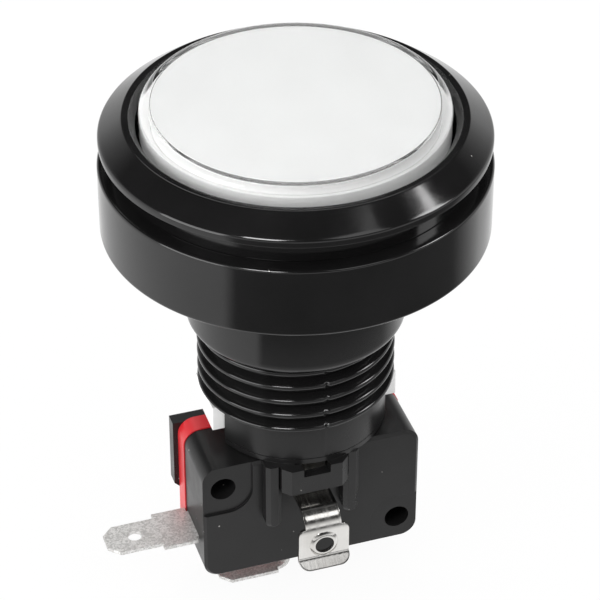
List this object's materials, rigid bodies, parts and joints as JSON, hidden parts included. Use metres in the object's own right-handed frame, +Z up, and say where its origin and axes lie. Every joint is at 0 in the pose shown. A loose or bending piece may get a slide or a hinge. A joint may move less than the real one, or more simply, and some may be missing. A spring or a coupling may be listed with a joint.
{
  "type": "arcade push button",
  "caption": "Round lit push button with a clear cap, conical bezel, spacer collar and threaded stem, over a plug-in lamp holder that carries a snap-action switch.",
  "frame": {"origin": "on the button's axis, in the plane where the spacer collar's underside seats on the panel", "axes": "+Z up along the button's axis towards the cap, X along the length of the switch with the common terminal towards -X, -Y towards the front lamp terminal"},
  "size_m": [0.0481, 0.0454, 0.0653],
  "materials": {
    "black_gloss": "polished moulding",
    "black_satin": "satin",
    "case_black": "satin",
    "clear_plastic": "clear polished",
    "white_plastic": "semi-gloss",
    "red_plastic": "semi-gloss",
    "spring_steel": "drawn wire",
    "plated": "bright nickel plate",
    "tinned": "matte tin plate",
    "contact_metal": "rolled strip"
  },
  "bodies": {
    "body": {"housing": "black_gloss", "spacer_collar": "black_gloss", "return_spring": "spring_steel", "lamp_holder": "black_satin", "lamp_base": "white_plastic", "lamp_led": "clear_plastic", "lamp_lead_front": "plated", "lamp_lead_rear": "plated", "front_lamp_terminal": "plated", "rear_lamp_terminal": "plated", "switch_case": "case_black", "switch_cover": "red_plastic", "com_terminal": "tinned", "no_terminal": "tinned", "fixed_contact": "contact_metal"},
    "button": {"lens_cap": "clear_plastic", "legend_disc": "white_plastic", "plunger": "white_plastic"},
    "pin": {"switch_pin": "red_plastic"},
    "blade": {"moving_blade": "contact_metal", "moving_contact": "contact_metal"}
  },
  "joints": [
    {"name": "button_press", "type": "slide", "parent": "body", "child": "button", "axis": [0, 0, -1], "range_m": [0, 0.0018], "stiffness_N_per_m": 260, "springref_m": -0.0025, "deforming": ["return_spring"]},
    {"name": "pin_press", "type": "slide", "parent": "body", "child": "pin", "axis": [0, 0, -1], "range_m": [0, 0.0017]},
    {"name": "blade_turn", "type": "hinge", "parent": "body", "child": "blade", "pos_m": [-0.008, -0.0034, -0.0336], "axis": [0, 1, 0], "range_deg": [0, 5.7]}
  ],
  "couplings": [
    {"joint": "pin_press", "follows": "button_press", "ratio": 0.92},
    {"joint": "blade_turn", "follows": "button_press", "rad_per_m": 52.874}
  ]
}
